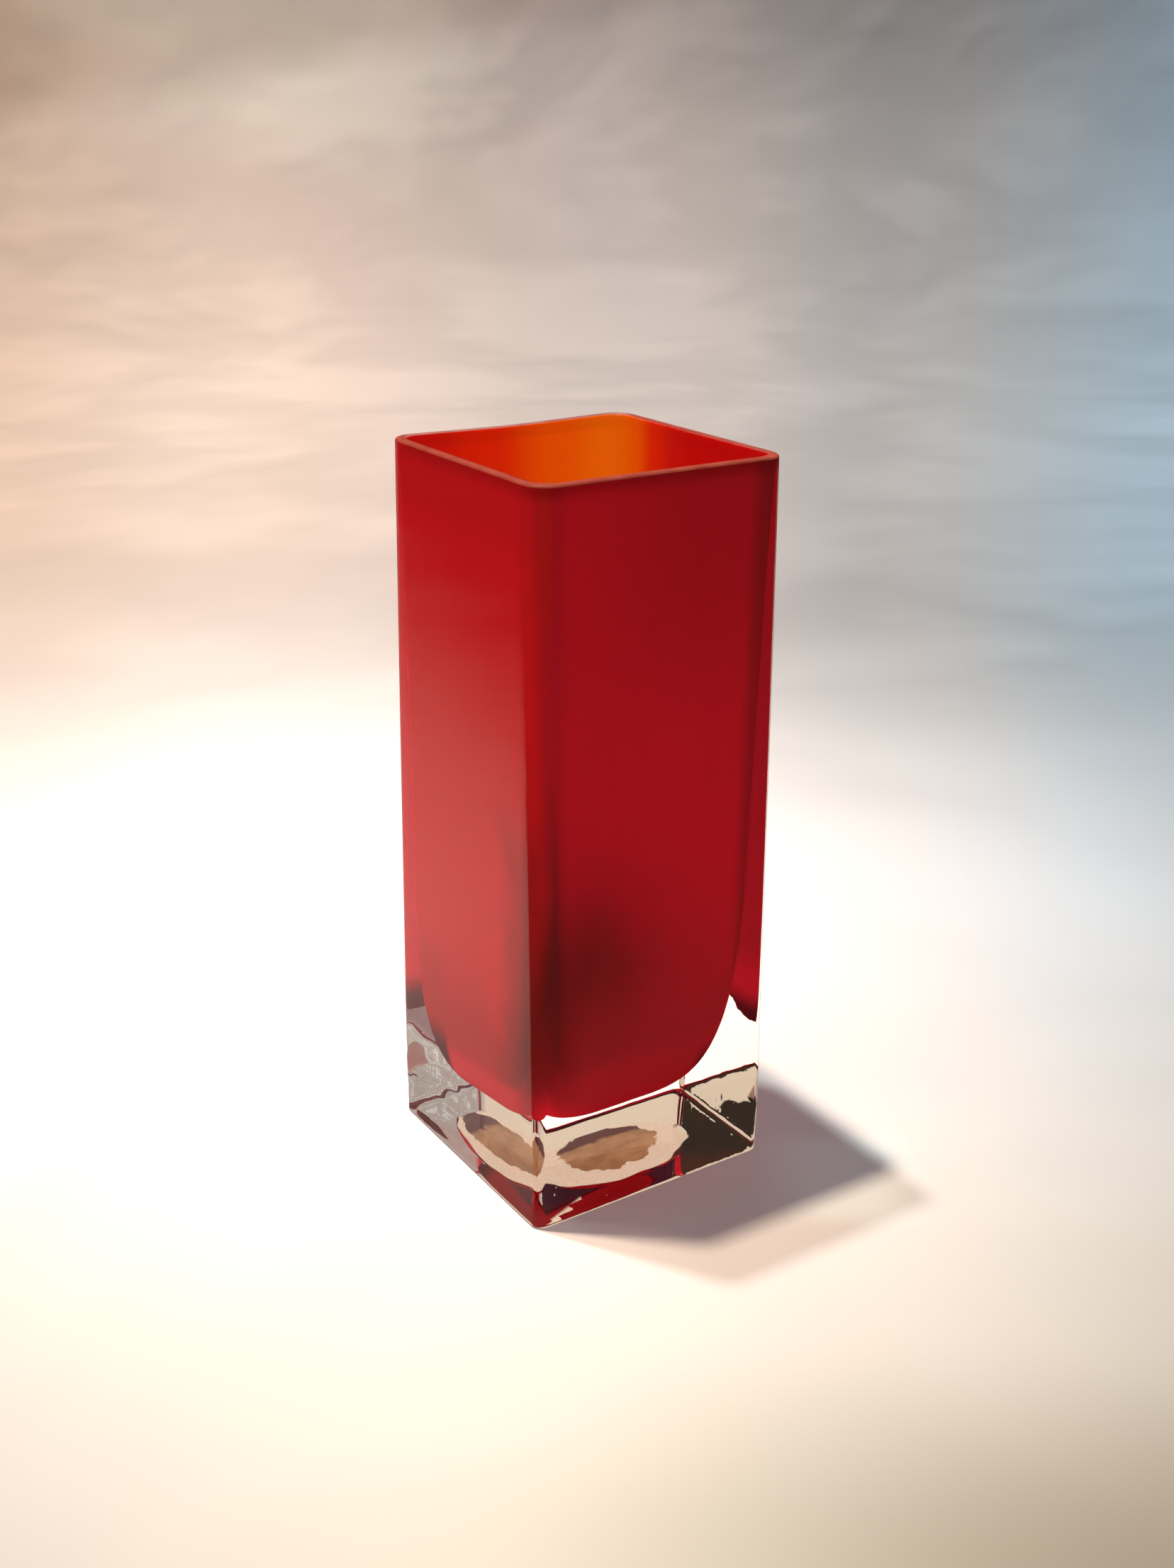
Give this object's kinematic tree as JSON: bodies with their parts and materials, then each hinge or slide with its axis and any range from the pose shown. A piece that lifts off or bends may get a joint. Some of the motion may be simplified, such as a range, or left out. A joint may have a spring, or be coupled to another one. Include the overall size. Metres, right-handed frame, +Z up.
{
  "type": "square glass vase",
  "caption": "Tall square vase of cased glass: a thin ruby cup with a rounded bottom inside a thick clear block with a heavy base.",
  "frame": {"origin": "centre of the foot, on the surface that the vase stands on", "axes": "+Z up along the vase; +X and +Y square to its flat walls, with the ruby cup's bottom nearer the -X wall and lower towards +Y"},
  "size_m": [0.075, 0.075, 0.2],
  "materials": {
    "clear_glass": "clear, fire-polished, with a few seed bubbles and faint cords in the base",
    "ruby_glass": "deep selenium ruby, translucent, glowing orange where light comes through the wall"
  },
  "bodies": {
    "root": {"clear_casing": "clear_glass", "ruby_cup": "ruby_glass"}
  },
  "joints": []
}
